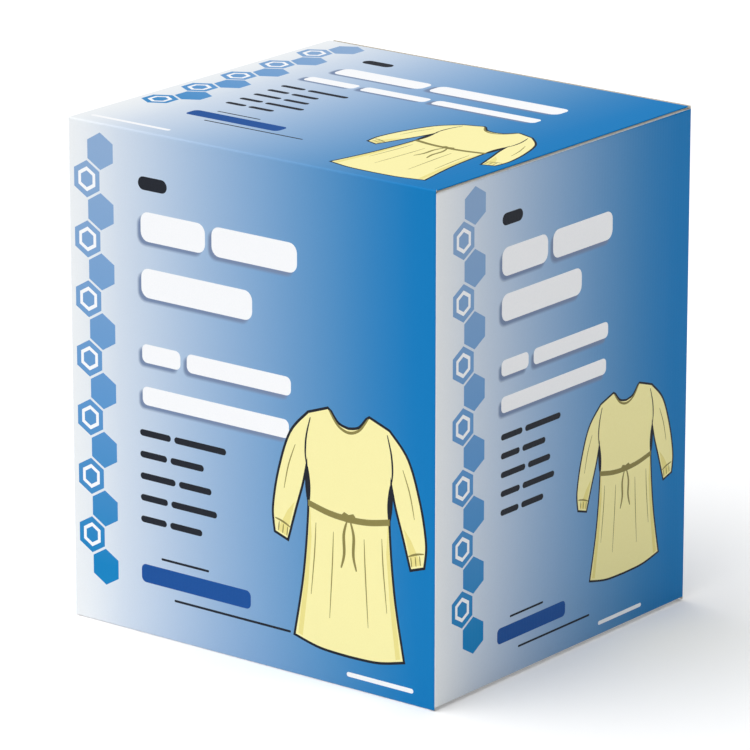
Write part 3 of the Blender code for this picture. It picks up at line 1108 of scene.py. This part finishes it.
def print_panel(name, node, body, layout, inks):
    """One panel's printed sheet, with its maps, in its node's place."""
    panel = read_panel(node)
    piece = outer_liner(name, panel, inks, layout_shapes(layout), layout.white_bars)
    map_sheet(piece, panel, layout.white_bars)
    finish_piece(piece, body, PRINT_SLOTS[node], node)


def build_board(name, panels, body, fluted=()):
    """The flutes and the inner sheets of panels of one body, each kind one piece.

    fluted are panels that get flutes here and their sheets elsewhere.
    """
    white, medium = liner_white(), fluting_paper()
    flutes = [fluting(f"flutes_{p.node}", p, medium) for p in [*panels, *fluted]]
    finish_piece(join_pieces(f"{name}_fluting", flutes), body, "white_liner")
    inside = [inner_liner(f"inner_{p.node}", p, white) for p in panels]
    finish_piece(join_pieces(f"{name}_inner_liner", inside), body, "white_liner")


def build_flaps(name, nodes, body):
    """Plain flaps of one body: outer sheets, flutes and inner sheets, each kind one piece."""
    coat = plain_finishes()
    panels = [read_panel(n) for n in nodes]
    outer = [outer_liner(f"outer_{p.node}", p, coat, plain="plain") for p in panels]
    finish_piece(join_pieces(f"{name}_outer_liner", outer), body, "white_liner", *nodes)
    build_board(name, panels, body)


# ---------------------------------------------------------------- the stage

def lay_floor():
    """A plain white table under the carton, of opal acrylic: even, matt and lit softly from below."""
    material, tree, shader = new_surface("opal_acrylic_table", 0.9)
    fibres = paper_relief(tree, shader, 4 * MM, 0.01 * MM)
    mottle(tree, shader, fibres, "fbfbfb", "f6f6f6", 0.3)
    shader.inputs["Emission Color"].default_value = linear("ffffff")
    shader.inputs["Emission Strength"].default_value = FLOOR_GLOW
    shape = bmesh.new()
    bmesh.ops.create_grid(shape, x_segments=1, y_segments=1, size=FLOOR_REACH)
    floor = piece_from("floor", shape, [material])
    floor.data.transform(Matrix.Translation((0.0, 0.0, LOW.z - FLOOR_GAP)))


def light_room(strength):
    """An even white studio all round."""
    world = bpy.data.worlds.new("studio")
    world.use_nodes = True
    background = next(n for n in world.node_tree.nodes if n.type == "BACKGROUND")
    background.inputs["Color"].default_value = linear("ffffff")
    background.inputs["Strength"].default_value = strength
    bpy.context.scene.world = world


def hang_softbox(strength):
    """A very wide, distant softbox over the front left: the lid is lightest, the right side darkest."""
    lamp = bpy.data.lights.new("softbox", "SUN")
    lamp.energy = strength
    lamp.angle = math.radians(SOFTBOX_ANGLE)
    holder = bpy.data.objects.new("softbox", lamp)
    holder.rotation_euler = Vector(SOFTBOX_AIM).to_track_quat("-Z", "Y").to_euler()
    bpy.context.scene.collection.objects.link(holder)


def set_camera(stage):
    """The camera at the photograph's angle, framed for a square picture of 750 by 750."""
    target = Vector((AIM_SIDE * HEIGHT, 0.0, AIM_HEIGHT * HEIGHT))
    back = Vector((math.sin(stage.azimuth) * math.cos(stage.elevation),
                   -math.cos(stage.azimuth) * math.cos(stage.elevation), math.sin(stage.elevation)))
    lens = bpy.data.cameras.new("camera")
    lens.sensor_width = SENSOR
    lens.lens = stage.lens
    camera = bpy.data.objects.new("camera", lens)
    camera.location = target + back * stage.distance
    camera.rotation_euler = (-back).to_track_quat("-Z", "Y").to_euler()
    bpy.context.scene.collection.objects.link(camera)
    bpy.context.scene.camera = camera


# ---------------------------------------------------------------- operators

class PrintedWalls(bpy.types.Operator):
    """Prints the outer sheet of the four walls"""
    bl_idname = "carton.printed_walls"
    bl_label = "Printed walls"

    def execute(self, context):
        inks = printed_finishes()
        layouts = {"wall_front": front_layout(), "wall_back": front_layout(),
                   "wall_right": side_layout(), "wall_left": side_layout()}
        for node, layout in layouts.items():
            print_panel(node.replace("wall", "printed_liner"), node, "carton", layout, inks)
        return {"FINISHED"}


class WallBoard(bpy.types.Operator):
    """Builds the flutes and the inner sheet behind the walls' print, and the glue tab"""
    bl_idname = "carton.wall_board"
    bl_label = "Wall board"

    def execute(self, context):
        tab = read_panel("glue_tab")
        build_board("wall", [read_panel(node) for node in WALLS], "carton", fluted=[tab])
        outer = outer_liner("tab_outer", tab, plain_finishes(), plain="plain")
        whole = join_pieces("glue_tab_liners", [outer, inner_liner("tab_inner", tab, liner_white())])
        finish_piece(whole, "carton", "white_liner", "glue_tab")
        return {"FINISHED"}


class BaseFlaps(bpy.types.Operator):
    """Builds the four base flaps as fluted board"""
    bl_idname = "carton.base_flaps"
    bl_label = "Base flaps"

    def execute(self, context):
        build_flaps("base", BASE, "carton")
        return {"FINISHED"}


class LidPanel(bpy.types.Operator):
    """Prints the lid and builds its board"""
    bl_idname = "carton.lid_panel"
    bl_label = "Lid"

    def execute(self, context):
        print_panel("printed_liner_lid", "lid", "lid", lid_layout(), printed_finishes())
        build_board("lid", [read_panel("lid")], "lid")
        return {"FINISHED"}


class TuckAndDustFlaps(bpy.types.Operator):
    """Builds the tuck flap and the two dust flaps"""
    bl_idname = "carton.tuck_and_dust_flaps"
    bl_label = "Tuck and dust flaps"

    def execute(self, context):
        for body, node in FLAPS.items():
            build_flaps(body, (node,), body)
        return {"FINISHED"}


class MovingCreases(bpy.types.Operator):
    """Carries the board across the four creases that open"""
    bl_idname = "carton.moving_creases"
    bl_label = "Moving creases"

    def execute(self, context):
        inks = printed_finishes()
        joints = {joint["name"]: joint for joint in frame["joints"]}
        for name, (a, b) in MOVING_FOLDS.items():
            panel_a, panel_b = read_panel(a), read_panel(b)
            skins = [inks["blend"], inks["blend" if b == "lid" else "knockout"], inks["raw"]]
            piece = crease_liner(f"{name}_liner", panel_a, panel_b, joints[name], skins)
            core = crease_core(f"{name}_core", panel_a, panel_b, joints[name], liner_white())
        return {"FINISHED"}


class CartonStudio(bpy.types.Operator):
    """Sets a pale floor, soft studio light and the camera"""
    bl_idname = "carton.studio"
    bl_label = "Studio"

    def execute(self, context):
        stage = context.scene.carton_stage
        lay_floor()
        light_room(stage.room)
        hang_softbox(stage.key)
        set_camera(stage)
        context.scene.view_settings.view_transform = "Standard"
        return {"FINISHED"}


class CartonPanel(bpy.types.Panel):
    """Lists the carton's building steps in the sidebar"""
    bl_idname = "VIEW3D_PT_carton"
    bl_label = "Printed carton"
    bl_space_type = "VIEW_3D"
    bl_region_type = "UI"
    bl_category = "Carton"

    def draw(self, context):
        for group in (context.scene.carton_board, context.scene.carton_print, context.scene.carton_stage):
            for name in group.__annotations__:
                self.layout.prop(group, name)
        for step in STEPS:
            self.layout.operator(step.bl_idname)


STEPS = (PrintedWalls, WallBoard, BaseFlaps, LidPanel, TuckAndDustFlaps, MovingCreases, CartonStudio)
GROUPS = {"carton_board": CartonBoard, "carton_print": CartonPrint, "carton_stage": CartonStage}


def register():
    for group in (*GROUPS.values(), *STEPS, CartonPanel):
        bpy.utils.register_class(group)
    for name, group in GROUPS.items():
        setattr(bpy.types.Scene, name, PointerProperty(type=group))


def unregister():
    for name in GROUPS:
        delattr(bpy.types.Scene, name)
    for group in reversed((*GROUPS.values(), *STEPS, CartonPanel)):
        bpy.utils.unregister_class(group)


def main():
    register()
    bpy.ops.carton.printed_walls()
    bpy.ops.carton.wall_board()
    bpy.ops.carton.base_flaps()
    bpy.ops.carton.lid_panel()
    bpy.ops.carton.tuck_and_dust_flaps()
    bpy.ops.carton.moving_creases()
    bpy.ops.carton.studio()


if __name__ == "__main__":
    main()
